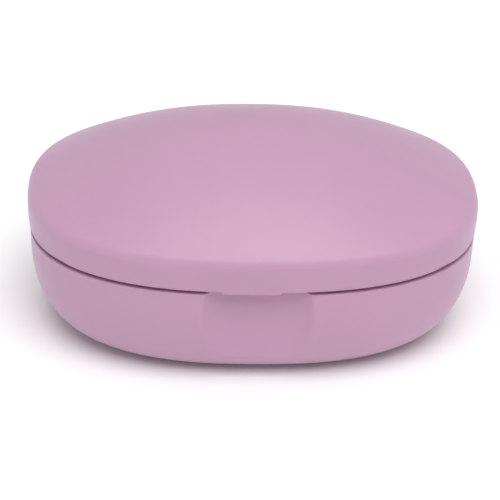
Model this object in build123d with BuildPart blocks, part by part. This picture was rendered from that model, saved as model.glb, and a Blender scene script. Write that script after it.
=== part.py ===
"""Oval pill splitter: a hinged clamshell case with a guarded blade under its domed lid.

Millimetres. +X is right along the oval's long axis, -Y is the front with the finger scoop, +Y is the
back with the hinge, and +Z is up. The origin is the centre of the anti-slip pad's underside.
"""
from build123d import *
from math import acos, atan2, cos, degrees, radians, sin, sqrt, tan, tau
import os

os.makedirs("parts", exist_ok=True)

# ---- case ----
case_length = 88.0  # the lid's long axis
case_depth = 64.0  # the lid's short axis
lid_oval_power = 2.43  # 2 would be an ellipse, more is squarer
base_oval_power = 2.49
base_inset = 0.4  # the lid overhangs the base by this much
pad_proud = 0.5
base_height = 19.5
rim_gap = 0.7  # the parting gap between base rim and lid edge
lid_wall_height = 6.25  # lid edge up to the crease under the dome
dome_rise = 13.1
dome_power = 1.87  # 2 would be a paraboloid
crease_radius = 2.4
lid_wall = 1.8
base_wall = 2.1
base_floor = 2.2
bottom_share = 0.66  # the base's flat bottom as a share of its rim
bowl_power = 2.64  # how square the bowl's side profile is

# ---- lip between the two shells ----
lip_inset = 1.1
lip_thickness = 1.15
lip_height = 1.8
lip_clearance = 0.15
lid_edge_draw = 0.35  # the lid's wall draws in by this much at its edge
rebate_height = 2.3

# ---- front: finger scoop and lid tab ----
scoop_width = 20.4  # at the rim
scoop_depth = 3.1  # at the rim
scoop_foot_width = 23.0  # the scoop leans: it is wider and shallower where it runs out below
scoop_foot_depth = 2.2
scoop_shift = 0.3  # to the right
scoop_power = 4  # how flat the scoop is from side to side
scoop_round = 1.2  # its rounded border
tab_width = 11.0
tab_shift = -1.0
tab_drop = 0.4
lid_edge_round = 0.3
latch_bead_length = 7.0
latch_bead_radius = 0.35
latch_bead_rise = 1.2  # above the base rim
latch_relief = 0.3  # room round the bead in the lid

# ---- hinge ----
hinge_offset = 2.0  # the pin's axis stands this far behind the lid
knuckle_radius = 2.1
hinge_pin_radius = 0.9
lid_knuckle_length = 16.0
base_knuckle_length = 6.0
knuckle_gap = 0.2
hinge_bore_clearance = 0.05
hinge_press_clearance = 0.01
hinge_pin_chamfer = 0.2
base_web_sink = 1.35  # how deep the knuckles' webs start inside the shells
base_web_drop = 6.0
lid_web_sink = 0.8
lid_web_rise = 5.0

# ---- underside ----
pad_thickness = 1.3
pad_margin = 3.2  # the bottom's edge to the pad
pad_clearance = 0.1
tray_screw_y = 11.0
tray_screw_length = 8.0
screw_radius = 1.1
screw_head_radius = 2.0
screw_head_height = 1.4
screw_head_chamfer = 0.35
cross_slot = (2.2, 0.6, 0.8)  # length, width and depth of a screw's cross
head_sink = 0.3  # the heads lie this far above the pad
head_clearance = 0.2
shank_clearance = 0.2
boss_radius = 3.4
boss_height = 2.7  # above the base's floor

# ---- tray ----
tray_clearance = 0.3
deck_slack = 0.1  # the deck's edge is drawn in a little more
deck_drop = 1.0  # the deck lies this far below the base rim
deck_thickness = 1.5
tray_wall = 1.4
side_well_margin = 4.9  # from the holder's side to the side wells
side_well_y = 17.5
side_well_corner = 4.0
well_floor_thickness = 1.0
rear_well_half_width = 12.0
rear_well_margin = 3.0  # from the rear well to the guard's pivot
rear_well_drop = 9.0  # below the base rim
post_radius = 2.25

# ---- V-shaped pill holder ----
holder_half_width = 13.0
holder_setback = 0.25  # its seat's front stands this far off the tray's edge
holder_clearance = 0.1
holder_depth = 10.5  # its underside below the base rim
pill_floor_drop = 8.0  # below the base rim
holder_top_drop = 0.6  # below the base rim
holder_corner = 1.5
vee_setback = 6.5  # from the holder's front to the V's apex
vee_length = 20.0
vee_half_angle = 30.0
grip_pad_thickness = 0.8
grip_pad_start = 2.6  # along the wall from the apex
grip_pad_end = 21.0
grip_pad_height = 6.2
grip_ribs = 6
grip_rib_width = 0.3
grip_rib_depth = 0.2
strip_half_width = 1.5
strip_thickness = 1.5
strip_lead = 0.4  # the strip starts this far before the blade's slot
blade_slot_width = 0.8
blade_slot_lead = 1.6  # the slot starts this far before the blade
groove_depth = 0.8

# ---- blade and its carrier, hanging in the lid ----
blade_thickness = 0.35
blade_lead = 3.0  # the blade starts this far before the V's apex
blade_length = 26.0
blade_height = 11.0
blade_bite = 0.4  # how far the edge sinks into the groove
bevel_height = 1.3
edge_width = 0.04
blade_peg_radius = 0.75
blade_peg_clearance = 0.05
blade_peg_reach = (9.0, 18.0)  # from the blade's front end
blade_peg_drop = 1.2  # below the blade's top
blade_peg_root = 0.2  # how deep the pegs start in the carrier
blade_pocket_clearance = 0.05
carrier_half_width = 2.5
carrier_margin = 0.8  # before the blade
carrier_front_rise = 1.65  # its front top corner above the crease
carrier_bottom_rise = 0.5  # above the holder's top
clamp_margin = 0.9  # behind the blade
clamp_rise = 4.6  # above the blade's top
clamp_clearance = 0.1
clamp_screw_reach = (5.0, 22.0)  # from the blade's front end
clamp_screw_rise = 2.5  # above the blade's top
clamp_screw_radius = 1.0
clamp_head_radius = 1.8
clamp_head_height = 1.1
clamp_hole_wall = 0.4  # left under the clamp screws' holes
clamp_slot = (2.4, 0.5, 0.6)  # length, width and depth of a clamp screw's cross
flange_half_width = 10.2
flange_length = 26.0
flange_setback = 7.0  # before the guard's pivot
flange_drop = 7.05  # its top face below the dome's top
flange_thickness = 1.6
flange_corner = 2.5
carrier_screw_x = 7.2
carrier_screw_inset = 3.4  # from the flange's ends
carrier_screw_length = 4.6
carrier_hole_spare = 0.3  # the holes run past the screws by this much
lid_boss_radius = 2.9

# ---- blade guard ----
guard_pivot_setback = 8.0  # in from the back of the lid
guard_pivot_rise = 1.4  # above the lid edge
guard_ear_radius = 2.3
guard_pin_radius = 0.8
guard_bore_clearance = 0.05
guard_gap = 0.2  # between the carrier and each cheek
guard_cheek = 1.0
guard_nose_gap = 0.4  # between the blade's lower corner and the nose, which runs on an arc about the pivot
guard_nose = 1.0
guard_nose_drop = 0.6  # its top below the carrier's
guard_top_gap = 1.0  # below the flange
guard_heel_drop = 2.5  # below the base rim
guard_heel_lead = 3.5  # behind the holder
guard_top_front = 4.0  # its top edge runs from this far behind the blade's front end
guard_top_back = 5.0  # to this far before the flange's back end
guard_top_slope = 1.5
guard_pin_left = 0.3  # past the left cheek
guard_pin_right = 2.8  # past the right cheek, to carry the spring
spring_wire_radius = 0.25
spring_coil_radius = 1.35
spring_coils = 4  # the last one stops early, where its leg leaves for the flange
spring_pitch = 0.6
spring_side_gap = 0.35
spring_bend_radius = 0.27  # the wire swells a little where it bends into a leg
spring_leg_reach = 7.8  # from the pivot to where the upper leg meets the flange
spring_peg_reach = 10.0
spring_peg_gap = 0.03
spring_peg_radius = 0.7
spring_peg_length = 1.3

# ---- worked out from the sizes above: the case ----
lid_half_x = case_length / 2
lid_half_y = case_depth / 2
base_half_x = lid_half_x - base_inset
base_half_y = lid_half_y - base_inset
base_bottom_z = pad_proud
rim_z = base_bottom_z + base_height
lip_top_z = rim_z + lip_height
lip_inner_x = base_half_x - lip_inset - lip_thickness
lip_inner_y = base_half_y - lip_inset - lip_thickness
rebate_inset = base_inset + lip_inset - lip_clearance
lid_edge_z = rim_z + rim_gap
tab_z = lid_edge_z - tab_drop
crease_z = lid_edge_z + lid_wall_height
top_z = crease_z + dome_rise
floor_z = base_bottom_z + base_floor
pad_top_z = pad_thickness
pad_half_x = base_half_x * bottom_share - pad_margin
pad_half_y = base_half_y * bottom_share - pad_margin
hinge_y = lid_half_y + hinge_offset
hinge_z = rim_z + rim_gap / 2
hinge_half_length = lid_knuckle_length / 2 + knuckle_gap + base_knuckle_length
knuckle_diagonal = knuckle_radius * cos(radians(45))
front_wall_y = -(base_half_y - scoop_depth - base_wall)  # inner face of the wall behind the scoop
front_wall_half = scoop_foot_width / 2 + base_wall
head_seat_z = pad_top_z + head_sink + screw_head_height
bore_radius = screw_radius + shank_clearance

# ---- worked out: the tray and the holder ----
boss_top = floor_z + boss_height
well_floor_z = boss_top + well_floor_thickness
deck_z = rim_z - deck_drop
deck_under_z = deck_z - deck_thickness
tray_inset = base_wall + tray_clearance
tray_front = front_wall_y + tray_clearance
seat_front = tray_front + holder_setback + tray_wall
holder_front = seat_front + holder_clearance
vee_apex_y = holder_front + vee_setback
holder_back = vee_apex_y + vee_length
seat_back = holder_back + holder_clearance
seat_half = holder_half_width + holder_clearance
holder_bottom_z = rim_z - holder_depth
holder_top_z = rim_z - holder_top_drop
pill_floor_z = rim_z - pill_floor_drop
side_well_x = holder_half_width + side_well_margin
rear_well_floor_z = rim_z - rear_well_drop
tray_screw_x = holder_half_width + post_radius

# ---- worked out: the blade, its carrier and the guard ----
blade_half = blade_thickness / 2
blade_front = vee_apex_y - blade_lead
blade_back = blade_front + blade_length
blade_edge_z = pill_floor_z - blade_bite
blade_top_z = blade_edge_z + blade_height
blade_slot_front = blade_front - blade_slot_lead
strip_front = blade_slot_front - strip_lead
carrier_front = blade_front - carrier_margin
carrier_bottom_z = holder_top_z + carrier_bottom_rise
carrier_front_top_z = crease_z + carrier_front_rise
clamp_back = blade_back + clamp_margin
clamp_top_z = blade_top_z + clamp_rise
clamp_screw_z = blade_top_z + clamp_screw_rise
guard_pivot_y = lid_half_y - guard_pivot_setback
guard_pivot_z = lid_edge_z + guard_pivot_rise
rear_well_back = guard_pivot_y - rear_well_margin
flange_back = guard_pivot_y - flange_setback
flange_front = flange_back - flange_length
flange_top_z = top_z - flange_drop
flange_under_z = flange_top_z - flange_thickness
guard_nose_radius = sqrt((guard_pivot_y - blade_front) ** 2 + (guard_pivot_z - blade_edge_z) ** 2) + guard_nose_gap
guard_top_z = flange_under_z - guard_top_gap
guard_heel_z = rim_z - guard_heel_drop
guard_heel_front = holder_back + guard_heel_lead
guard_heel_back = (guard_heel_front + rear_well_back) / 2
cheek_in = carrier_half_width + guard_gap
cheek_out = cheek_in + guard_cheek
spring_leg_y = guard_pivot_y - spring_leg_reach
spring_peg_y = guard_pivot_y - spring_peg_reach
spring_peg_z = guard_pivot_z + spring_coil_radius - spring_wire_radius - spring_peg_gap - spring_peg_radius
peg_spots = [(blade_front + reach, blade_top_z - blade_peg_drop) for reach in blade_peg_reach]
clamp_spots = [(blade_front + reach, clamp_screw_z) for reach in clamp_screw_reach]
screw_spots = [(x, y) for x in (-tray_screw_x, tray_screw_x) for y in (-tray_screw_y, tray_screw_y)]
carrier_spots = [
    (x, y)
    for x in (-carrier_screw_x, carrier_screw_x)
    for y in (flange_front + carrier_screw_inset, flange_back - carrier_screw_inset)
]


# ---- shared outlines ----
def oval_points(half_x, half_y, power, count=32):
    """Points round a superellipse, at equal angles."""
    points = []
    for i in range(count):
        c = cos(tau * i / count)
        s = sin(tau * i / count)
        reach = (abs(c) ** power + abs(s) ** power) ** (-1 / power)
        points.append((half_x * reach * c, half_y * reach * s))
    return points


def oval(half_x, half_y, power, z=0.0):
    """A flat face bounded by a superellipse, at height z."""
    points = [Vector(x, y, z) for x, y in oval_points(half_x, half_y, power)]
    return Face(Wire([Edge.make_spline(points, periodic=True)]))


def bowl(inset, bottom_z):
    """Sections of the base's bowl shape, drawn in by inset, from the rim down to bottom_z."""
    steps = 7
    sections = []
    for step in range(steps + 1):
        angle = radians(90 * step / steps)
        z = rim_z - (rim_z - bottom_z) * sin(angle) ** (2 / bowl_power)
        share = bottom_share + (1 - bottom_share) * abs(cos(angle)) ** (2 / bowl_power)
        half_x = (base_half_x - inset) * share
        half_y = (base_half_y - inset) * share
        sections.append(oval(half_x, half_y, base_oval_power, z))
    return sections


def lid_block(inset, bottom_z, edge_draw):
    """Sections of the lid's upright oval wall, drawn in by edge_draw at its edge, to above the dome."""
    bulge = 4.0  # the height over which the wall reaches its full width
    sections = []
    for rise in (0.0, 0.5, 1.3, 2.5, bulge, 2 * bulge, lid_wall_height + 1.4 * dome_rise):
        left = max(0.0, 1 - rise / bulge)
        draw = inset + edge_draw * left**2.5
        sections.append(oval(lid_half_x - draw, lid_half_y - draw, lid_oval_power, bottom_z + rise))
    return sections


def dome_cutter(inset, edge_z, crown_z):
    """A solid above the dome surface that rises from an oval edge to its crown."""
    half_x = lid_half_x - inset
    half_y = lid_half_y - inset
    over = 1.12
    count = 25
    rows = []
    for i in range(count):
        row = []
        x = over * (2 * i / (count - 1) - 1)
        for j in range(count):
            y = over * (2 * j / (count - 1) - 1)
            reach = (abs(x) ** lid_oval_power + abs(y) ** lid_oval_power) ** (1 / lid_oval_power)
            z = edge_z + (crown_z - edge_z) * (1 - reach**dome_power)
            row.append(Vector(half_x * x, half_y * y, z))
        rows.append(row)
    skin = Face.make_surface_from_array_of_points(rows, tol=0.02, min_deg=3, max_deg=5)
    return Solid.extrude(skin, Vector(0, 0, 2 * case_depth))


def finish(builder, name):
    """Label a piece and write its file."""
    builder.part.label = name
    export_step(builder.part, f"parts/{name}.step")


def scoop_outline(width, depth, z):
    """A face that cuts the finger scoop at height z: its back edge follows the rim, set in by depth."""
    count = 17
    reach = 0.53 * width
    edge = []
    for i in range(count):
        x = reach * (2 * i / (count - 1) - 1)
        rim_y = base_half_y * (1 - abs(x / base_half_x) ** base_oval_power) ** (1 / base_oval_power)
        edge.append(Vector(x + scoop_shift, depth * (1 - abs(2 * x / width) ** scoop_power) - rim_y, z))
    left = Vector(edge[0].X, -case_depth, z)
    right = Vector(edge[-1].X, -case_depth, z)
    sides = [Edge.make_line(edge[-1], right), Edge.make_line(right, left), Edge.make_line(left, edge[0])]
    return Face(Wire([Edge.make_spline(edge)] + sides))


# ---- base shell: the bowl with its lip, scoop wall, screw bosses and hinge knuckles ----
with BuildPart() as base_hollow:
    loft(bowl(base_wall, floor_z))
    with BuildSketch(Plane.XY.offset(rim_z)):
        add(oval(lip_inner_x, lip_inner_y, lid_oval_power))
    extrude(amount=lip_height + 1)
    with BuildSketch(Plane.XY):
        with Locations((0, front_wall_y - case_depth / 2)):
            Rectangle(2 * front_wall_half, case_depth)
    extrude(amount=lip_top_z + 2, mode=Mode.SUBTRACT)
    with BuildSketch(Plane.XY):
        with Locations(*screw_spots):
            Circle(boss_radius)
    extrude(amount=boss_top, mode=Mode.SUBTRACT)

with BuildPart() as base_shell:
    loft(bowl(0, base_bottom_z))
    with BuildSketch(Plane.XY.offset(rim_z)):
        add(oval(base_half_x - lip_inset, base_half_y - lip_inset, lid_oval_power))
    extrude(amount=lip_height)
    # hinge knuckles, each on a web that runs into the back wall
    for side in (-1, 1):
        near = side * (lid_knuckle_length / 2 + knuckle_gap)
        with BuildSketch(Plane.YZ.offset(near)):
            with Locations((hinge_y, hinge_z)):
                Circle(knuckle_radius)
            with BuildLine():
                Polyline(
                    (base_half_y - base_web_sink, rim_z),
                    (hinge_y - knuckle_diagonal, rim_z),
                    (hinge_y + knuckle_diagonal, hinge_z - knuckle_diagonal),
                    (base_half_y - base_web_sink, rim_z - base_web_drop),
                    close=True,
                )
            make_face()
        extrude(amount=side * base_knuckle_length)
    add(base_hollow.part, mode=Mode.SUBTRACT)
    # finger scoop, rounded all round its border
    scoop_faces = [scoop_outline(scoop_foot_width, scoop_foot_depth, 0), scoop_outline(scoop_width, scoop_depth, rim_z)]
    loft(scoop_faces, ruled=True, mode=Mode.SUBTRACT)
    scoop_border = (
        base_shell.edges()
        .filter_by(lambda edge: edge.bounding_box().max.Y < front_wall_y - base_wall / 2)
        .filter_by(lambda edge: edge.bounding_box().max.Z < rim_z + 0.01)
        .filter_by(lambda edge: edge.bounding_box().size.Z > base_height / 4)
    )
    fillet(scoop_border, scoop_round)
    # latch bead on the front of the lip
    with BuildSketch(Plane.YZ.offset(-latch_bead_length / 2)):
        with Locations((-(base_half_y - lip_inset), rim_z + latch_bead_rise)):
            Circle(latch_bead_radius)
    extrude(amount=latch_bead_length)
    # recess for the pad, then the screw holes up through the bosses
    with BuildSketch(Plane.XY):
        add(oval(pad_half_x + pad_clearance, pad_half_y + pad_clearance, base_oval_power))
    extrude(amount=pad_top_z, mode=Mode.SUBTRACT)
    with BuildSketch(Plane.XY):
        with Locations(*screw_spots):
            Circle(screw_head_radius + head_clearance)
    extrude(amount=head_seat_z, mode=Mode.SUBTRACT)
    with BuildSketch(Plane.XY):
        with Locations(*screw_spots):
            Circle(bore_radius)
    extrude(amount=boss_top + 1, mode=Mode.SUBTRACT)
    with BuildSketch(Plane.YZ.offset(-case_length / 2)):
        with Locations((hinge_y, hinge_z)):
            Circle(hinge_pin_radius + hinge_press_clearance)
    extrude(amount=case_length, mode=Mode.SUBTRACT)
finish(base_shell, "base_shell")

# ---- anti-slip pad, let into the bottom ----
with BuildPart() as anti_slip_pad:
    with BuildSketch(Plane.XY):
        add(oval(pad_half_x, pad_half_y, base_oval_power))
    extrude(amount=pad_thickness)
    chamfer(anti_slip_pad.faces().sort_by(Axis.Z)[0].edges(), pad_proud * 0.6)
finish(anti_slip_pad, "anti_slip_pad")

# ---- tray: deck, two side wells, rear well, holder seat and four screw posts ----
with BuildPart() as tray_envelope:
    loft(bowl(tray_inset, boss_top))
with BuildPart() as seat_envelope:
    loft(bowl(tray_inset, floor_z + tray_clearance))
with BuildPart() as well_envelope:
    loft(bowl(tray_inset + tray_wall, well_floor_z))

well_reach = case_length / 2
with BuildPart() as well_blocks:
    for side in (-1, 1):
        with BuildSketch(Plane.XY.offset(boss_top)):
            with Locations((side * (side_well_x - tray_wall + well_reach / 2), 0)):
                RectangleRounded(well_reach, 2 * (side_well_y + tray_wall), side_well_corner)
        extrude(amount=deck_z - boss_top)
    add(tray_envelope.part, mode=Mode.INTERSECT)

with BuildPart() as well_spaces:
    for side in (-1, 1):
        with BuildSketch(Plane.XY.offset(well_floor_z)):
            with Locations((side * (side_well_x + well_reach / 2), 0)):
                RectangleRounded(well_reach, 2 * side_well_y, side_well_corner)
        extrude(amount=rim_z - well_floor_z)
    add(well_envelope.part, mode=Mode.INTERSECT)

# the block that the V-shaped holder sits in, and the rear well's block behind it
with BuildPart() as seat_block:
    with BuildSketch(Plane.XY.offset(holder_bottom_z - tray_wall)):
        with Locations((0, (seat_front + seat_back) / 2)):
            Rectangle(2 * (seat_half + tray_wall), seat_back - seat_front + 2 * tray_wall)
    extrude(amount=deck_z - holder_bottom_z + tray_wall)
    with BuildSketch(Plane.XY.offset(rear_well_floor_z - tray_wall)):
        with Locations((0, (seat_back + rear_well_back) / 2)):
            Rectangle(2 * (rear_well_half_width + tray_wall), rear_well_back - seat_back + 2 * tray_wall)
    extrude(amount=deck_z - rear_well_floor_z + tray_wall)
    add(seat_envelope.part, mode=Mode.INTERSECT)
    with BuildSketch(Plane.XY):
        with Locations(*screw_spots):
            Circle(boss_radius + tray_clearance)
    extrude(amount=boss_top, mode=Mode.SUBTRACT)

with BuildPart() as base_tray:
    with BuildSketch(Plane.XY.offset(deck_under_z)):
        add(oval(base_half_x - tray_inset - deck_slack, base_half_y - tray_inset - deck_slack, base_oval_power))
    extrude(amount=deck_thickness)
    add(well_blocks.part)
    add(seat_block.part)
    with BuildSketch(Plane.XY.offset(boss_top)):
        with Locations(*screw_spots):
            Circle(post_radius)
    extrude(amount=deck_z - boss_top)
    add(well_spaces.part, mode=Mode.SUBTRACT)
    with BuildSketch(Plane.XY.offset(holder_bottom_z)):
        with Locations((0, (seat_front + seat_back) / 2)):
            Rectangle(2 * seat_half, seat_back - seat_front)
    extrude(amount=rim_z - holder_bottom_z, mode=Mode.SUBTRACT)
    with BuildSketch(Plane.XY.offset(rear_well_floor_z)):
        with Locations((0, (holder_back + rear_well_back) / 2)):
            Rectangle(2 * rear_well_half_width, rear_well_back - holder_back)
    extrude(amount=rim_z - rear_well_floor_z, mode=Mode.SUBTRACT)
    # clear the wall behind the scoop
    with BuildSketch(Plane.XY):
        with Locations((0, tray_front - case_depth / 2)):
            Rectangle(2 * (front_wall_half + tray_clearance), case_depth)
    extrude(amount=rim_z, mode=Mode.SUBTRACT)
    with BuildSketch(Plane.XY.offset(boss_top)):
        with Locations(*screw_spots):
            Circle(screw_radius)
    extrude(amount=deck_under_z - boss_top, mode=Mode.SUBTRACT)
finish(base_tray, "base_tray")

# ---- tray screws, driven up from under the pad ----
for number, (x, y) in enumerate(screw_spots, start=1):
    with BuildPart() as tray_screw:
        with BuildSketch(Plane.XY.offset(head_seat_z - screw_head_height)):
            with Locations((x, y)):
                Circle(screw_head_radius)
        extrude(amount=screw_head_height)
        with BuildSketch(Plane.XY.offset(head_seat_z)):
            with Locations((x, y)):
                Circle(screw_radius)
        extrude(amount=tray_screw_length)
        with BuildSketch(Plane.XY.offset(head_seat_z - screw_head_height)):
            with Locations((x, y)):
                Rectangle(cross_slot[0], cross_slot[1])
                Rectangle(cross_slot[1], cross_slot[0])
        extrude(amount=cross_slot[2], mode=Mode.SUBTRACT)
    finish(tray_screw, f"tray_screw_{number}")

# ---- V-shaped pill holder ----
holder_mid_y = (holder_front + holder_back) / 2
vee_slope = tan(radians(vee_half_angle))
wall_shift = grip_pad_thickness / cos(radians(vee_half_angle))  # sideways room for the grip pads

with BuildPart() as v_holder:
    with BuildSketch(Plane.XY.offset(holder_bottom_z)):
        with Locations((0, holder_mid_y)):
            Rectangle(2 * holder_half_width, holder_back - holder_front)
    extrude(amount=holder_top_z - holder_bottom_z)
    fillet(v_holder.edges().filter_by(Axis.Z).group_by(Axis.Y)[0], holder_corner)
    mouth = (holder_back + 1 - vee_apex_y) * vee_slope
    with BuildSketch(Plane.XY.offset(pill_floor_z)):
        with BuildLine():
            Polyline(
                (-wall_shift, vee_apex_y),
                (-wall_shift - mouth, holder_back + 1),
                (wall_shift + mouth, holder_back + 1),
                (wall_shift, vee_apex_y),
                close=True,
            )
        make_face()
    extrude(amount=rim_z - pill_floor_z, mode=Mode.SUBTRACT)
    with BuildSketch(Plane.XY.offset(pill_floor_z - strip_thickness)):
        with Locations((0, (strip_front + holder_back) / 2)):
            Rectangle(2 * strip_half_width, holder_back - strip_front)
    extrude(amount=strip_thickness, mode=Mode.SUBTRACT)
    with BuildSketch(Plane.XY.offset(pill_floor_z)):
        with Locations((0, (blade_slot_front + holder_back) / 2)):
            Rectangle(blade_slot_width, holder_back - blade_slot_front)
    extrude(amount=rim_z - pill_floor_z, mode=Mode.SUBTRACT)
finish(v_holder, "v_holder")

# ---- soft grip pads on the two walls of the V ----
for side, name in ((-1, "grip_pad_left"), (1, "grip_pad_right")):
    dx = side * sin(radians(vee_half_angle))
    dy = cos(radians(vee_half_angle))
    across = (side * cos(radians(vee_half_angle)), -sin(radians(vee_half_angle)))
    near = (dx * grip_pad_start, vee_apex_y + dy * grip_pad_start)
    far = (dx * grip_pad_end, vee_apex_y + dy * grip_pad_end)
    back = grip_pad_thickness
    with BuildPart() as grip_pad:
        with BuildSketch(Plane.XY.offset(pill_floor_z)):
            with BuildLine():
                Polyline(
                    near,
                    far,
                    (far[0] + across[0] * back, far[1] + across[1] * back),
                    (near[0] + across[0] * back, near[1] + across[1] * back),
                    close=True,
                )
            make_face()
        extrude(amount=grip_pad_height)
        deep = grip_rib_depth
        for rib in range(1, grip_ribs + 1):
            rib_z = pill_floor_z + grip_pad_height * rib / (grip_ribs + 1) - grip_rib_width / 2
            with BuildSketch(Plane.XY.offset(rib_z)):
                with BuildLine():
                    Polyline(
                        near,
                        far,
                        (far[0] + across[0] * deep, far[1] + across[1] * deep),
                        (near[0] + across[0] * deep, near[1] + across[1] * deep),
                        close=True,
                    )
                make_face()
            extrude(amount=grip_rib_width, mode=Mode.SUBTRACT)
    finish(grip_pad, name)

# ---- cutting strip with the groove that takes the blade's edge ----
with BuildPart() as cutting_strip:
    with BuildSketch(Plane.XY.offset(pill_floor_z - strip_thickness)):
        with Locations((0, (strip_front + holder_back) / 2)):
            Rectangle(2 * strip_half_width, holder_back - strip_front)
    extrude(amount=strip_thickness)
    with BuildSketch(Plane.XY.offset(pill_floor_z - groove_depth)):
        with Locations((0, (strip_front + holder_back) / 2)):
            Rectangle(blade_slot_width, holder_back - strip_front)
    extrude(amount=groove_depth, mode=Mode.SUBTRACT)
finish(cutting_strip, "cutting_strip")

# ---- hinge pin ----
with BuildPart() as hinge_pin:
    with BuildSketch(Plane.YZ.offset(-hinge_half_length)):
        with Locations((hinge_y, hinge_z)):
            Circle(hinge_pin_radius)
    extrude(amount=2 * hinge_half_length)
    chamfer(hinge_pin.edges().filter_by(GeomType.CIRCLE), hinge_pin_chamfer)
finish(hinge_pin, "hinge_pin")

# ---- lid shell: side wall, creased dome, bosses, rebate, tab and knuckle ----
with BuildPart() as lid_hollow:
    loft(lid_block(lid_wall, lid_edge_z - 2, 0))
    add(dome_cutter(lid_wall, crease_z - lid_wall / 2, top_z - lid_wall), mode=Mode.SUBTRACT)
    with BuildSketch(Plane.XY.offset(flange_top_z)):
        with Locations(*carrier_spots):
            Circle(lid_boss_radius)
    extrude(amount=dome_rise, mode=Mode.SUBTRACT)

with BuildPart() as lid_shell:
    loft(lid_block(0, tab_z, lid_edge_draw))
    add(dome_cutter(0, crease_z, top_z), mode=Mode.SUBTRACT)
    crease = lid_shell.edges().filter_by(lambda edge: edge.center().Z > crease_z - 1)
    fillet(crease, crease_radius)
    # lid knuckle on its web
    with BuildSketch(Plane.YZ.offset(-lid_knuckle_length / 2)):
        with Locations((hinge_y, hinge_z)):
            Circle(knuckle_radius)
        with BuildLine():
            Polyline(
                (lid_half_y - lid_web_sink, lid_edge_z),
                (hinge_y - knuckle_diagonal, lid_edge_z),
                (hinge_y + knuckle_diagonal, hinge_z + knuckle_diagonal),
                (lid_half_y - lid_web_sink, lid_edge_z + lid_web_rise),
                close=True,
            )
        make_face()
    extrude(amount=lid_knuckle_length)
    add(lid_hollow.part, mode=Mode.SUBTRACT)
    with BuildSketch(Plane.XY):
        add(oval(lid_half_x - rebate_inset, lid_half_y - rebate_inset, lid_oval_power))
    extrude(amount=lid_edge_z + rebate_height, mode=Mode.SUBTRACT)
    # trim the edge, leaving the tab
    with BuildSketch(Plane.XY):
        Rectangle(2 * case_length, case_depth + 0.2)
        with Locations((tab_shift, -case_depth / 2)):
            Rectangle(tab_width, case_depth / 2, mode=Mode.SUBTRACT)
    extrude(amount=lid_edge_z, mode=Mode.SUBTRACT)
    lid_border = (
        lid_shell.edges()
        .filter_by(lambda edge: edge.bounding_box().max.Z < lid_edge_z + 0.01)
        .filter_by(lambda edge: max(edge.bounding_box().max.X, -edge.bounding_box().min.X) > lid_half_x - lip_inset / 2)
    )
    fillet(lid_border, lid_edge_round)
    # relief for the latch bead
    with BuildSketch(Plane.XY):
        with Locations((0, -(base_half_y - lip_inset))):
            Rectangle(latch_bead_length + 2 * latch_relief, 2 * (latch_bead_radius + lip_clearance))
    extrude(amount=rim_z + latch_bead_rise + latch_bead_radius + latch_relief, mode=Mode.SUBTRACT)
    with BuildSketch(Plane.XY.offset(flange_top_z)):
        with Locations(*carrier_spots):
            Circle(screw_radius)
    extrude(amount=carrier_screw_length - flange_thickness + carrier_hole_spare, mode=Mode.SUBTRACT)
    with BuildSketch(Plane.YZ.offset(-case_length / 2)):
        with Locations((hinge_y, hinge_z)):
            Circle(hinge_pin_radius + hinge_bore_clearance)
    extrude(amount=case_length, mode=Mode.SUBTRACT)
finish(lid_shell, "lid_shell")

# ---- blade carrier: flange, web and the arm that carries the guard's pivot ----
arm_reach = guard_ear_radius - 0.1
with BuildPart() as blade_carrier:
    with BuildSketch(Plane.YZ.offset(-carrier_half_width)):
        with BuildLine():
            Polyline(
                (guard_pivot_y, guard_pivot_z + arm_reach),
                (flange_back - 1.0, flange_top_z),
                (flange_front, flange_top_z),
                (carrier_front, carrier_front_top_z),
                (carrier_front, carrier_bottom_z),
                (guard_pivot_y, carrier_bottom_z),
                close=True,
            )
        make_face()
        with Locations((guard_pivot_y, guard_pivot_z)):
            Circle(guard_pivot_z - carrier_bottom_z)
    extrude(amount=2 * carrier_half_width)
    with BuildSketch(Plane.XY.offset(flange_under_z)):
        with Locations((0, (flange_front + flange_back) / 2)):
            RectangleRounded(2 * flange_half_width, flange_length, flange_corner)
    extrude(amount=flange_thickness)
    # seat for the clamp on the right side, and the blade's own pocket behind it
    with BuildSketch(Plane.YZ.offset(blade_half)):
        Polygon(
            (carrier_front, carrier_bottom_z),
            (clamp_back, carrier_bottom_z),
            (clamp_back, clamp_top_z),
            (carrier_front, clamp_top_z),
            align=None,
        )
    extrude(amount=carrier_half_width, mode=Mode.SUBTRACT)
    with BuildSketch(Plane.YZ.offset(-blade_half)):
        Polygon(
            (blade_front - blade_pocket_clearance, carrier_bottom_z),
            (blade_back + blade_pocket_clearance, carrier_bottom_z),
            (blade_back + blade_pocket_clearance, blade_top_z + blade_pocket_clearance),
            (blade_front - blade_pocket_clearance, blade_top_z + blade_pocket_clearance),
            align=None,
        )
    extrude(amount=blade_thickness, mode=Mode.SUBTRACT)
    with BuildSketch(Plane.YZ.offset(-blade_half - blade_peg_root)):
        with Locations(*peg_spots):
            Circle(blade_peg_radius)
    extrude(amount=blade_thickness + blade_peg_root)
    with BuildSketch(Plane.YZ.offset(-carrier_half_width + clamp_hole_wall)):
        with Locations(*clamp_spots):
            Circle(clamp_screw_radius)
    extrude(amount=carrier_half_width, mode=Mode.SUBTRACT)
    with BuildSketch(Plane.YZ.offset(-carrier_half_width)):
        with Locations((guard_pivot_y, guard_pivot_z)):
            Circle(guard_pin_radius)
    extrude(amount=2 * carrier_half_width, mode=Mode.SUBTRACT)
    with BuildSketch(Plane.XY.offset(flange_under_z)):
        with Locations(*carrier_spots):
            Circle(bore_radius)
    extrude(amount=flange_thickness, mode=Mode.SUBTRACT)
finish(blade_carrier, "blade_carrier")

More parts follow.
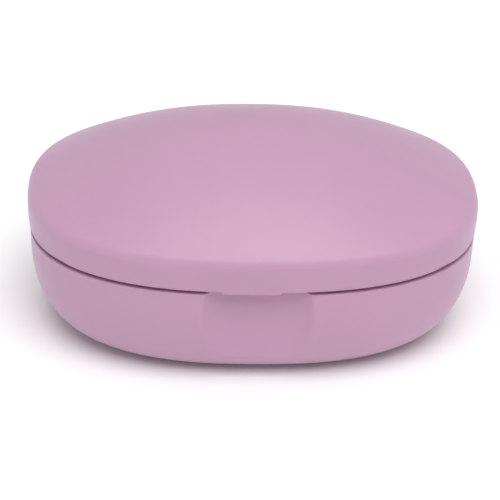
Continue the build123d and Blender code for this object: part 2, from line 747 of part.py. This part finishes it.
# ---- carrier screws, up into the lid's bosses ----
for number, (x, y) in enumerate(carrier_spots, start=1):
    with BuildPart() as carrier_screw:
        with BuildSketch(Plane.XY.offset(flange_under_z - screw_head_height)):
            with Locations((x, y)):
                Circle(screw_head_radius)
        extrude(amount=screw_head_height)
        chamfer(carrier_screw.edges().group_by(Axis.Z)[0], screw_head_chamfer)
        with BuildSketch(Plane.XY.offset(flange_under_z)):
            with Locations((x, y)):
                Circle(screw_radius)
        extrude(amount=carrier_screw_length)
        with BuildSketch(Plane.XY.offset(flange_under_z - screw_head_height)):
            with Locations((x, y)):
                Rectangle(cross_slot[0], cross_slot[1])
                Rectangle(cross_slot[1], cross_slot[0])
        extrude(amount=cross_slot[2], mode=Mode.SUBTRACT)
    finish(carrier_screw, f"carrier_screw_{number}")

# ---- blade: a bevelled strip with two locating holes ----
with BuildPart() as blade:
    with BuildSketch(Plane.XZ.offset(-blade_back)):
        with BuildLine():
            Polyline(
                (-blade_half, blade_top_z),
                (-blade_half, blade_edge_z + bevel_height),
                (-edge_width / 2, blade_edge_z),
                (edge_width / 2, blade_edge_z),
                (blade_half, blade_edge_z + bevel_height),
                (blade_half, blade_top_z),
                close=True,
            )
        make_face()
    extrude(amount=blade_length)
    with BuildSketch(Plane.YZ.offset(-blade_thickness)):
        with Locations(*peg_spots):
            Circle(blade_peg_radius + blade_peg_clearance)
    extrude(amount=2 * blade_thickness, mode=Mode.SUBTRACT)
finish(blade, "blade")

# ---- blade clamp and its two screws ----
with BuildPart() as blade_clamp:
    with BuildSketch(Plane.YZ.offset(blade_half)):
        Polygon(
            (carrier_front, carrier_bottom_z),
            (clamp_back - clamp_clearance, carrier_bottom_z),
            (clamp_back - clamp_clearance, clamp_top_z - clamp_clearance),
            (carrier_front, clamp_top_z - clamp_clearance),
            align=None,
        )
    extrude(amount=carrier_half_width - blade_half)
    with BuildSketch(Plane.YZ):
        with Locations(*clamp_spots):
            Circle(clamp_screw_radius + clamp_clearance)
    extrude(amount=carrier_half_width, mode=Mode.SUBTRACT)
    with BuildSketch(Plane.YZ.offset(carrier_half_width - clamp_head_height)):
        with Locations(*clamp_spots):
            Circle(clamp_head_radius + clamp_clearance)
    extrude(amount=clamp_head_height, mode=Mode.SUBTRACT)
finish(blade_clamp, "blade_clamp")

clamp_screw_tip = carrier_half_width - clamp_hole_wall - clamp_clearance
for spot, name in zip(clamp_spots, ("clamp_screw_front", "clamp_screw_back")):
    with BuildPart() as clamp_screw:
        with BuildSketch(Plane.YZ.offset(carrier_half_width - clamp_head_height)):
            with Locations(spot):
                Circle(clamp_head_radius)
        extrude(amount=clamp_head_height)
        with BuildSketch(Plane.YZ.offset(-clamp_screw_tip)):
            with Locations(spot):
                Circle(clamp_screw_radius)
        extrude(amount=clamp_screw_tip + carrier_half_width - clamp_head_height)
        with BuildSketch(Plane.YZ.offset(carrier_half_width - clamp_slot[2])):
            with Locations(spot):
                Rectangle(clamp_slot[0], clamp_slot[1])
                Rectangle(clamp_slot[1], clamp_slot[0])
        extrude(amount=clamp_slot[2], mode=Mode.SUBTRACT)
    finish(clamp_screw, name)

# ---- blade guard: two cheeks joined by a nose that runs round in front of the blade ----
nose_out = guard_nose_radius + guard_nose
nose_top_z = carrier_front_top_z - guard_nose_drop
nose_mid_z = (nose_top_z + carrier_bottom_z) / 2


def on_arc(radius, z):
    """The y of a point in front of the pivot, at height z on an arc about it."""
    return guard_pivot_y - sqrt(radius**2 - (z - guard_pivot_z) ** 2)


ear_join = guard_ear_radius - 0.1
heel_slope_run = guard_heel_lead - carrier_margin
with BuildPart() as blade_guard:
    for side in (-1, 1):
        with BuildSketch(Plane.YZ.offset(side * cheek_in)):
            with BuildLine():
                ThreePointArc(
                    (on_arc(nose_out, nose_top_z), nose_top_z),
                    (on_arc(nose_out, nose_mid_z), nose_mid_z),
                    (on_arc(nose_out, carrier_bottom_z), carrier_bottom_z),
                )
                Polyline(
                    (on_arc(nose_out, carrier_bottom_z), carrier_bottom_z),
                    (guard_heel_front - heel_slope_run, carrier_bottom_z),
                    (guard_heel_front, guard_heel_z),
                    (guard_heel_back, guard_heel_z),
                    ((guard_heel_back + rear_well_back) / 2, carrier_bottom_z),
                    (guard_pivot_y, guard_pivot_z - ear_join),
                    (guard_pivot_y, guard_pivot_z + ear_join),
                    (flange_back, guard_top_z - guard_top_slope),
                    (flange_back - guard_top_back, guard_top_z),
                    (blade_front + guard_top_front, guard_top_z),
                    (on_arc(nose_out, nose_top_z), nose_top_z),
                )
            make_face()
            with Locations((guard_pivot_y, guard_pivot_z)):
                Circle(guard_ear_radius)
        extrude(amount=side * guard_cheek)
    with BuildSketch(Plane.YZ.offset(-cheek_out)):
        with BuildLine():
            ThreePointArc(
                (on_arc(nose_out, nose_top_z), nose_top_z),
                (on_arc(nose_out, nose_mid_z), nose_mid_z),
                (on_arc(nose_out, carrier_bottom_z), carrier_bottom_z),
            )
            Line((on_arc(nose_out, carrier_bottom_z), carrier_bottom_z), (on_arc(guard_nose_radius, carrier_bottom_z), carrier_bottom_z))
            ThreePointArc(
                (on_arc(guard_nose_radius, carrier_bottom_z), carrier_bottom_z),
                (on_arc(guard_nose_radius, nose_mid_z), nose_mid_z),
                (on_arc(guard_nose_radius, nose_top_z), nose_top_z),
            )
            Line(
                (on_arc(guard_nose_radius, nose_top_z), nose_top_z),
                (on_arc(nose_out, nose_top_z), nose_top_z),
            )
        make_face()
    extrude(amount=2 * cheek_out)
    # peg that the spring's leg presses on
    with BuildSketch(Plane.YZ.offset(cheek_out)):
        with Locations((spring_peg_y, spring_peg_z)):
            Circle(spring_peg_radius)
    extrude(amount=spring_peg_length)
    with BuildSketch(Plane.YZ.offset(-cheek_out)):
        with Locations((guard_pivot_y, guard_pivot_z)):
            Circle(guard_pin_radius + guard_bore_clearance)
    extrude(amount=2 * cheek_out, mode=Mode.SUBTRACT)
finish(blade_guard, "blade_guard")

# ---- guard pin: its right end stands out to carry the spring ----
with BuildPart() as guard_pin:
    with BuildSketch(Plane.YZ.offset(-cheek_out - guard_pin_left)):
        with Locations((guard_pivot_y, guard_pivot_z)):
            Circle(guard_pin_radius)
    extrude(amount=guard_pin_left + 2 * cheek_out + guard_pin_right)
finish(guard_pin, "guard_pin")

# ---- guard spring: a torsion coil on the pin with one leg up to the flange and one on the peg ----
# The coil starts at its top, runs forward and down, and stops where its tangent points at the flange.
leg_top_z = flange_under_z - spring_wire_radius
leg_rise = leg_top_z - guard_pivot_z
leg_run = guard_pivot_y - spring_leg_y
leg_reach = sqrt(leg_rise**2 + leg_run**2)
stop_angle = degrees(acos(spring_coil_radius / leg_reach) - atan2(leg_run, leg_rise))
spring_turns = spring_coils - stop_angle / 360
coil = Helix(
    pitch=spring_pitch,
    height=spring_pitch * spring_turns,
    radius=spring_coil_radius,
    center=(cheek_out + spring_side_gap, guard_pivot_y, guard_pivot_z),
    direction=(1, 0, 0),
)
coil_start = coil @ 0
coil_end = coil @ 1
leg_spans = (
    (coil_start, Vector(coil_start.X, spring_peg_y - 2 * spring_peg_radius, coil_start.Z)),
    (coil_end, Vector(coil_end.X, spring_leg_y, leg_top_z)),
)
with BuildPart() as guard_spring:
    with BuildSketch(Plane(origin=coil_start, z_dir=coil % 0)):
        Circle(spring_wire_radius)
    sweep(path=coil, is_frenet=True)
    for near_end, far_end in leg_spans:
        span = far_end - near_end
        with BuildSketch(Plane(origin=near_end, z_dir=span)):
            Circle(spring_wire_radius)
        extrude(amount=span.length)
        with Locations(near_end):
            Sphere(spring_bend_radius)
finish(guard_spring, "guard_spring")
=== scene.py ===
# %% [markdown]
# # An oval pill splitter
# This lesson dresses a small hinged case for cutting tablets. The case, its blade and its hinges were
# designed in CAD, so their shapes and places are right already. Blender's work is the finish of each
# piece, the light, and the camera. Everything is in metres.

# %% Load the designed model
import math

import bpy
from mathutils import Matrix, Vector


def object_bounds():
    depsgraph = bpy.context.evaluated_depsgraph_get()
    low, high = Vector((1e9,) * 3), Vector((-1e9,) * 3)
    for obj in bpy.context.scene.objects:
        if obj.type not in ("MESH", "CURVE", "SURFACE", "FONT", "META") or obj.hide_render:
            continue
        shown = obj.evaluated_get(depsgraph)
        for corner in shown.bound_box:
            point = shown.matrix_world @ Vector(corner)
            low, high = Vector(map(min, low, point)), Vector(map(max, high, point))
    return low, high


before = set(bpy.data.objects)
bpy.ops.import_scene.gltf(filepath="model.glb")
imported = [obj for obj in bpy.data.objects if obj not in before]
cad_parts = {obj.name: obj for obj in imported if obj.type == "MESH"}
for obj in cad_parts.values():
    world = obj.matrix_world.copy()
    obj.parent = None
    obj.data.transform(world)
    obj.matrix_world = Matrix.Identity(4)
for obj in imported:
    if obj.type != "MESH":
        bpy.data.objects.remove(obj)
cad_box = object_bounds()
print("CAD box in millimetres", [[round(v * 1000, 1) for v in corner] for corner in cad_box])
print("pieces from CAD:", len(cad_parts))

# %% [markdown]
# ## Colours
# Blender's shaders work with linear colour, but a maker thinks of a colour as it looks on a screen.
# This helper turns the second kind into the first, so that every colour below can be written the
# way it looks.

# %% A helper for colours


def screen_colour(red, green, blue):
    """Linear RGBA for a colour given as 0 to 255 on a screen."""
    linear = []
    for part in (red, green, blue):
        part = part / 255
        linear.append(part / 12.92 if part <= 0.04045 else ((part + 0.055) / 1.055) ** 2.4)
    return (*linear, 1.0)


print("a rose plastic in linear colour", [round(v, 3) for v in screen_colour(188, 148, 175)])

# %% [markdown]
# ## Building blocks for a finish
# A real moulding is never one flat colour. Its tint drifts a little from place to place, and its skin has
# a fine grain from the steel of the mould. Two helpers give these to any material: one mixes two near
# colours through soft clouds, and one raises a fine grain as a bump and lets the gloss wander with it.
# Noise in object coordinates was chosen over painted images, because it has no seams and needs no files.

# %% Helpers for procedural finishes
NOISE_RANGE = (0.3, 0.7)  # nearly all of a noise texture's values lie in this range


def new_finish(name, **constants):
    """A material whose shader has the given constants on its sockets, and its object coordinates."""
    finish = bpy.data.materials.new(name)
    finish.use_nodes = True
    shader = finish.node_tree.nodes["Principled BSDF"]
    for socket, value in constants.items():
        shader.inputs[socket.replace("_", " ")].default_value = value
    place = finish.node_tree.nodes.new("ShaderNodeTexCoord").outputs["Object"]
    return finish, shader, place


def noise(finish, place, size_mm, detail=2.0, stretch=(1, 1, 1)):
    """Noise whose lumps are about size_mm across, drawn out along an axis by stretch."""
    nodes, links = finish.node_tree.nodes, finish.node_tree.links
    if stretch != (1, 1, 1):
        mapping = nodes.new("ShaderNodeMapping")
        mapping.inputs["Scale"].default_value = [1 / s for s in stretch]
        links.new(place, mapping.inputs["Vector"])
        place = mapping.outputs["Vector"]
    texture = nodes.new("ShaderNodeTexNoise")
    texture.inputs["Scale"].default_value = 1000 / size_mm
    texture.inputs["Detail"].default_value = detail
    links.new(place, texture.inputs["Vector"])
    return texture.outputs["Fac"]


def spread(finish, value, low, high):
    """Stretch a noise value to run from low to high."""
    ramp = finish.node_tree.nodes.new("ShaderNodeMapRange")
    ramp.inputs["From Min"].default_value, ramp.inputs["From Max"].default_value = NOISE_RANGE
    ramp.inputs["To Min"].default_value = low
    ramp.inputs["To Max"].default_value = high
    finish.node_tree.links.new(value, ramp.inputs["Value"])
    return ramp.outputs["Result"]


def tint(finish, shader, value, dark, light):
    """Colour the shader between dark and light by value."""
    ramp = finish.node_tree.nodes.new("ShaderNodeValToRGB")
    for stop, position, colour in zip(ramp.color_ramp.elements, NOISE_RANGE, (dark, light)):
        stop.position = position
        stop.color = colour
    finish.node_tree.links.new(value, ramp.inputs["Fac"])
    finish.node_tree.links.new(ramp.outputs["Color"], shader.inputs["Base Color"])


def raise_grain(finish, shader, value, depth_mm, edge_mm=0.0):
    """Use value as a height of depth_mm for the shader's bump, with edges that look rounded by edge_mm."""
    bump = finish.node_tree.nodes.new("ShaderNodeBump")
    bump.inputs["Strength"].default_value = 1.0
    bump.inputs["Distance"].default_value = depth_mm / 1000
    if edge_mm:
        bevel = finish.node_tree.nodes.new("ShaderNodeBevel")
        bevel.samples = 6
        bevel.inputs["Radius"].default_value = edge_mm / 1000
        finish.node_tree.links.new(bevel.outputs["Normal"], bump.inputs["Normal"])
    finish.node_tree.links.new(value, bump.inputs["Height"])
    finish.node_tree.links.new(bump.outputs["Normal"], shader.inputs["Normal"])


# %% [markdown]
# ## Satin moulded plastic
# The case is moulded in a rose-mauve plastic with a satin skin: light spreads softly over it and there
# is no mirror-like shine. The grain is about a third of a millimetre across and only a few thousandths
# deep, and the tint drifts by one or two per cent over centimetres, as pigment does in a real moulding.
# Light also enters such a plastic by about a millimetre, which warms the narrow parting gap, so the case
# has a little subsurface scattering, and a faint cool sheen where its sides turn away. No mould has a
# perfectly sharp corner, so a bevel node rounds the look of every edge by a third of a millimetre. It only
# bends the light at the edge: the mesh keeps its shape.

# %% The case's plastic
EDGE_LOOK_MM = 0.3


def moulded_plastic(name, dark, light, roughness, grain_mm=0.35, grain_depth_mm=0.003, **constants):
    """Satin plastic with a drifting tint, a fine mould grain and slightly uneven gloss."""
    finish, shader, place = new_finish(name, **constants)
    tint(finish, shader, noise(finish, place, 22, 3), dark, light)
    low, high = roughness
    gloss = noise(finish, place, 5, 4)
    finish.node_tree.links.new(spread(finish, gloss, low, high), shader.inputs["Roughness"])
    raise_grain(finish, shader, noise(finish, place, grain_mm, 2), grain_depth_mm, EDGE_LOOK_MM)
    return finish


case_plastic = moulded_plastic(
    "rose_satin_plastic",
    screen_colour(188, 148, 175),
    screen_colour(192, 151, 178),
    (0.40, 0.47),
    Specular_IOR_Level=0.42,
    Subsurface_Weight=0.22,
    Subsurface_Radius=(1.0, 0.42, 0.7),
    Subsurface_Scale=0.0016,
    Sheen_Weight=0.16,
    Sheen_Roughness=0.45,
    Sheen_Tint=(0.80, 0.84, 1.0, 1.0),
)
tray_plastic = moulded_plastic(
    "rose_tray_plastic",
    screen_colour(184, 144, 171),
    screen_colour(189, 149, 176),
    (0.48, 0.56),
    grain_mm=0.5,
    grain_depth_mm=0.006,
    Specular_IOR_Level=0.4,
)
white_plastic = moulded_plastic(
    "white_holder_plastic",
    screen_colour(232, 230, 226),
    screen_colour(240, 239, 236),
    (0.36, 0.44),
    grain_mm=0.3,
    Specular_IOR_Level=0.45,
)
print("plastics:", case_plastic.name, tray_plastic.name, white_plastic.name)

# %% [markdown]
# ## Soft silicone, frosted guard and rubber
# The grip pads are soft milky silicone and the cutting strip is a tough milky plastic. Light enters both a
# little, so one helper makes the two. The blade guard is clear polycarbonate, frosted so that it softens
# what lies behind it. The pad under the case is a matt grey rubber with a coarser skin and a trace of dust.

# %% Soft and clear finishes


def milky_moulding(name, dark, light):
    """A milky silicone or plastic that light enters a little."""
    finish = moulded_plastic(name, dark, light, (0.46, 0.58), 0.25, 0.004, Specular_IOR_Level=0.35)
    shader = finish.node_tree.nodes["Principled BSDF"]
    shader.inputs["Subsurface Weight"].default_value = 0.25
    shader.inputs["Subsurface Radius"].default_value = (1.0, 0.8, 0.8)
    shader.inputs["Subsurface Scale"].default_value = 0.0008
    return finish


def frosted_guard():
    """Clear polycarbonate with a frosted skin."""
    finish, shader, place = new_finish("frosted_polycarbonate", IOR=1.45, Transmission_Weight=0.7)
    cool, cooler = screen_colour(240, 244, 248), screen_colour(226, 232, 238)
    tint(finish, shader, noise(finish, place, 9, 2), cooler, cool)
    frost = noise(finish, place, 4, 3)
    finish.node_tree.links.new(spread(finish, frost, 0.3, 0.42), shader.inputs["Roughness"])
    raise_grain(finish, shader, noise(finish, place, 0.8, 2), 0.002)
    return finish


def matt_rubber():
    """Grey rubber with a coarse skin and a trace of dust."""
    finish, shader, place = new_finish("grey_pad_rubber", Specular_IOR_Level=0.3, Sheen_Weight=0.15)
    tint(finish, shader, noise(finish, place, 6, 4), screen_colour(84, 80, 84), screen_colour(98, 94, 98))
    skin = noise(finish, place, 0.4, 3)
    finish.node_tree.links.new(spread(finish, skin, 0.68, 0.82), shader.inputs["Roughness"])
    raise_grain(finish, shader, skin, 0.02)
    return finish


grip_silicone = milky_moulding("milky_grip", screen_colour(222, 206, 214), screen_colour(232, 218, 226))
strip_plastic = milky_moulding("milky_strip", screen_colour(206, 208, 214), screen_colour(218, 220, 226))
guard_plastic = frosted_guard()
pad_rubber = matt_rubber()
print("soft finishes:", grip_silicone.name, strip_plastic.name, guard_plastic.name, pad_rubber.name)

# %% [markdown]
# ## Steel
# Three steels are used. The blade is ground, and grinding leaves fine straight scratches along its length,
# so its noise is drawn out along Y, where the blade lies. The pins and the spring are drawn bright wire,
# with long faint lines along X. The screws are zinc plated: a little cloudy and softer in shine.

# %% Metals


def steel(name, dark, light, roughness, line_mm, stretch, depth_mm):
    """Metal with marks about line_mm wide, drawn out by stretch."""
    finish, shader, place = new_finish(name, Metallic=1.0)
    tint(finish, shader, noise(finish, place, 3, 3), dark, light)
    marks = noise(finish, place, line_mm, 3, stretch)
    low, high = roughness
    finish.node_tree.links.new(spread(finish, marks, low, high), shader.inputs["Roughness"])
    raise_grain(finish, shader, marks, depth_mm)
    return finish


blade_steel = steel(
    "ground_blade_steel",
    screen_colour(196, 198, 202),
    screen_colour(222, 224, 228),
    (0.16, 0.34),
    line_mm=0.08,
    stretch=(1, 60, 1),
    depth_mm=0.002,
)
wire_steel = steel(
    "drawn_wire_steel",
    screen_colour(186, 187, 190),
    screen_colour(208, 209, 212),
    (0.14, 0.28),
    line_mm=0.1,
    stretch=(40, 1, 1),
    depth_mm=0.002,
)
zinc_plate = steel(
    "zinc_plated_steel",
    screen_colour(176, 178, 180),
    screen_colour(204, 205, 206),
    (0.3, 0.45),
    line_mm=0.5,
    stretch=(1, 1, 1),
    depth_mm=0.004,
)
print("metals:", blade_steel.name, wire_steel.name, zinc_plate.name)

# %% [markdown]
# ## Give every piece its finish
# The designed pieces keep their meshes. Each one belongs to a finish by its name, and the table below is the
# whole of the assignment, so a missing piece is easy to see.

# %% Assign the finishes
finish_of = {
    "base_shell": case_plastic,
    "lid_shell": case_plastic,
    "base_tray": tray_plastic,
    "v_holder": white_plastic,
    "blade_carrier": white_plastic,
    "blade_clamp": white_plastic,
    "grip_pad_left": grip_silicone,
    "grip_pad_right": grip_silicone,
    "cutting_strip": strip_plastic,
    "anti_slip_pad": pad_rubber,
    "blade_guard": guard_plastic,
    "blade": blade_steel,
    "hinge_pin": wire_steel,
    "guard_pin": wire_steel,
    "guard_spring": wire_steel,
    "clamp_screw_front": zinc_plate,
    "clamp_screw_back": zinc_plate,
}
for number in range(1, 5):
    finish_of[f"tray_screw_{number}"] = zinc_plate
    finish_of[f"carrier_screw_{number}"] = zinc_plate

for name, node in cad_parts.items():
    for slot in node.material_slots:
        slot.material = finish_of[name]
print("pieces finished:", len(finish_of), "of", len(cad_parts))

# %% [markdown]
# ## Floor
# The case stands on a pale, matt table top that runs far behind it, so that there is no horizon in the
# picture. It is staging, not part of the object.

# %% Make the floor
floor_size = 6.0
floor_mesh = bpy.data.meshes.new("floor")
half = floor_size / 2
floor_mesh.from_pydata(
    [(-half, -half, 0), (half, -half, 0), (half, half, 0), (-half, half, 0)], [], [(0, 1, 2, 3)]
)
floor = bpy.data.objects.new("floor", floor_mesh)
bpy.context.collection.objects.link(floor)
floor_finish, floor_shader, floor_place = new_finish("pale_table", Roughness=0.7, Specular_IOR_Level=0.2)
tint(
    floor_finish,
    floor_shader,
    noise(floor_finish, floor_place, 60, 3),
    screen_colour(249, 249, 250),
    screen_colour(251, 251, 251),
)
floor_mesh.materials.append(floor_finish)
print("floor", floor_size, "m across")

# %% [markdown]
# ## Light
# Small products are lit with large soft lamps, so that the highlights have no hard edge. A white table that
# is evenly bright, far behind the object too, needs a lamp that doesn't fade with distance, which is a sun
# lamp. It stands high in front, a little to the right, and its wide angle keeps the shadow soft. The room
# itself is white and gives the rest.

# %% Lamps and room
low, high = cad_box
middle = (low + high) / 2


def soft_sun(name, elevation, azimuth, strength, softness):
    """A sun lamp; all its angles are in degrees, and an azimuth of 0 is the front and + is the right."""
    data = bpy.data.lights.new(name, "SUN")
    data.energy = strength
    data.angle = math.radians(softness)
    lamp = bpy.data.objects.new(name, data)
    bpy.context.collection.objects.link(lamp)
    up, round_ = math.radians(elevation), math.radians(azimuth)
    towards = Vector((math.cos(up) * math.sin(round_), -math.cos(up) * math.cos(round_), math.sin(up)))
    lamp.location = middle + towards
    lamp.rotation_mode = "QUATERNION"
    lamp.rotation_quaternion = (-towards).to_track_quat("-Z", "Y")


soft_sun("key_lamp", elevation=68, azimuth=14, strength=2.1, softness=50)

room_brightness = 0.52
room = bpy.data.worlds.new("white_room")
bpy.context.scene.world = room
room.use_nodes = True
room_light = room.node_tree.nodes["Background"]
room_light.inputs["Color"].default_value = (1, 1, 1, 1)
room_light.inputs["Strength"].default_value = room_brightness
bpy.context.scene.view_settings.view_transform = "Standard"

# %% [markdown]
# ## Camera
# A long lens from a little under half a metre keeps the oval true, as product shots do. The camera looks down
# at 28 degrees from the front, turned a little to one side and rolled by a degree and a half.

# %% Place the camera
lens_mm = 160.6
film_width_mm = 36.0
nearest_seen = 0.01
camera_distance = 0.440
camera_elevation = math.radians(28.43)
camera_turn = math.radians(-2.43)
camera_roll = math.radians(1.61)
aim_down = math.radians(0.99)
aim_left = math.radians(0.06)
aim_height = low.z + 0.02075  # about where lid and base meet

camera_data = bpy.data.cameras.new("camera")
camera_data.lens = lens_mm
camera_data.sensor_width = film_width_mm
camera_data.clip_start = nearest_seen
camera_data.dof.use_dof = False
camera = bpy.data.objects.new("camera", camera_data)
bpy.context.collection.objects.link(camera)
target = Vector((0, 0, aim_height))
back = Vector((0, -math.cos(camera_elevation), math.sin(camera_elevation)))
back.rotate(Matrix.Rotation(camera_turn, 3, "Z"))
facing = (-back).to_track_quat("-Z", "Y").to_matrix()
facing = facing @ Matrix.Rotation(camera_roll, 3, "Z")
facing = facing @ Matrix.Rotation(-aim_down, 3, "X") @ Matrix.Rotation(aim_left, 3, "Y")
camera.rotation_mode = "QUATERNION"
camera.rotation_quaternion = facing.to_quaternion()
camera.location = target + back * camera_distance
bpy.context.scene.camera = camera
print("camera at", [round(v, 3) for v in camera.location])
